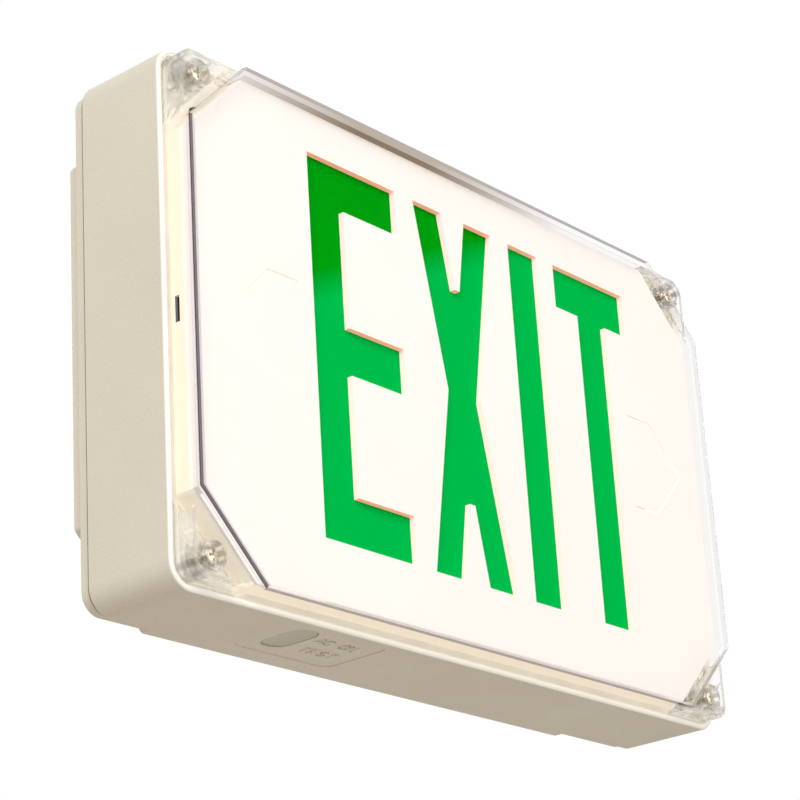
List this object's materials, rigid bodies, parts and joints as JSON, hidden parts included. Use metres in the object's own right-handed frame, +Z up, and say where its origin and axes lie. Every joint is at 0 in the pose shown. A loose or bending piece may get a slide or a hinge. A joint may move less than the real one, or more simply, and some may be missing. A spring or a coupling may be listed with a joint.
{
  "type": "emergency exit light",
  "caption": "Wall-mounted emergency exit light: white stencil legend over a green diffuser, under a clear screwed vandal shield, with battery back-up and an underside test button.",
  "frame": {"origin": "centre of the wire entry, in the plane where the back pan meets the wall", "axes": "+X to the right of a person facing the sign, +Z up, +Y into the wall, so the face looks along -Y"},
  "size_m": [0.3164, 0.0675, 0.2052],
  "materials": {
    "housing_plastic": "fine matte grain, light beige-grey, ultraviolet-stable moulding",
    "clear_polycarbonate": "clear gloss polycarbonate",
    "gasket_silicone": "natural silicone sheet, milky",
    "gasket_rubber": "warm grey closed-cell sheet",
    "foam": "dark grey foam",
    "housing_screw": "zinc plated with a yellow passivate",
    "stencil_white": "satin white",
    "diffuser_green": "translucent green, even satin",
    "tray_cream": "cream, matte reflector",
    "small_screw": "zinc plated",
    "circuit_board": "green solder mask",
    "strip_board": "white solder mask",
    "led_lens": "pale lens on a white case",
    "core_steel": "varnished laminations",
    "coil_tape": "yellow winding tape",
    "battery_sleeve": "shrink sleeve",
    "strap_steel": "galvanised strip",
    "capacitor_sleeve": "black sleeve",
    "black_epoxy": "moulded epoxy",
    "socket_nylon": "natural nylon",
    "terminal_plastic": "black phenolic",
    "pad_silicone": "translucent beige silicone",
    "switch_black": "black nylon",
    "pilot_green": "tinted epoxy"
  },
  "bodies": {
    "housing": {"housing_frame": "housing_plastic", "back_plate": "housing_plastic", "clear_shield": "clear_polycarbonate", "shield_gasket": "gasket_silicone", "back_gasket": "gasket_rubber", "wall_gasket": "foam", "cover_screws": "housing_screw", "back_screws": "housing_screw", "exit_stencil": "stencil_white", "green_diffuser": "diffuser_green", "reflector_tray": "tray_cream", "tray_screws": "small_screw", "transformer_screws": "small_screw", "strap_screws": "small_screw", "board_screws": "small_screw", "terminal_screws": "small_screw", "button_board_screws": "small_screw", "driver_board": "circuit_board", "button_board": "circuit_board", "led_strip_upper": "strip_board", "led_strip_lower": "strip_board", "leds": "led_lens", "transformer_core": "core_steel", "transformer_coil": "coil_tape", "battery_pack": "battery_sleeve", "battery_strap": "strap_steel", "capacitors": "capacitor_sleeve", "regulator": "black_epoxy", "board_sockets": "socket_nylon", "terminal_block": "terminal_plastic", "test_switch": "switch_black", "ac_on_lamp": "pilot_green"},
    "test_button": {"test_pad": "pad_silicone", "switch_plunger": "switch_black"}
  },
  "joints": [
    {"name": "test_press", "type": "slide", "parent": "housing", "child": "test_button", "axis": [0, 0, 1], "range_m": [0, 0.0015], "stiffness_N_per_m": 2000}
  ]
}
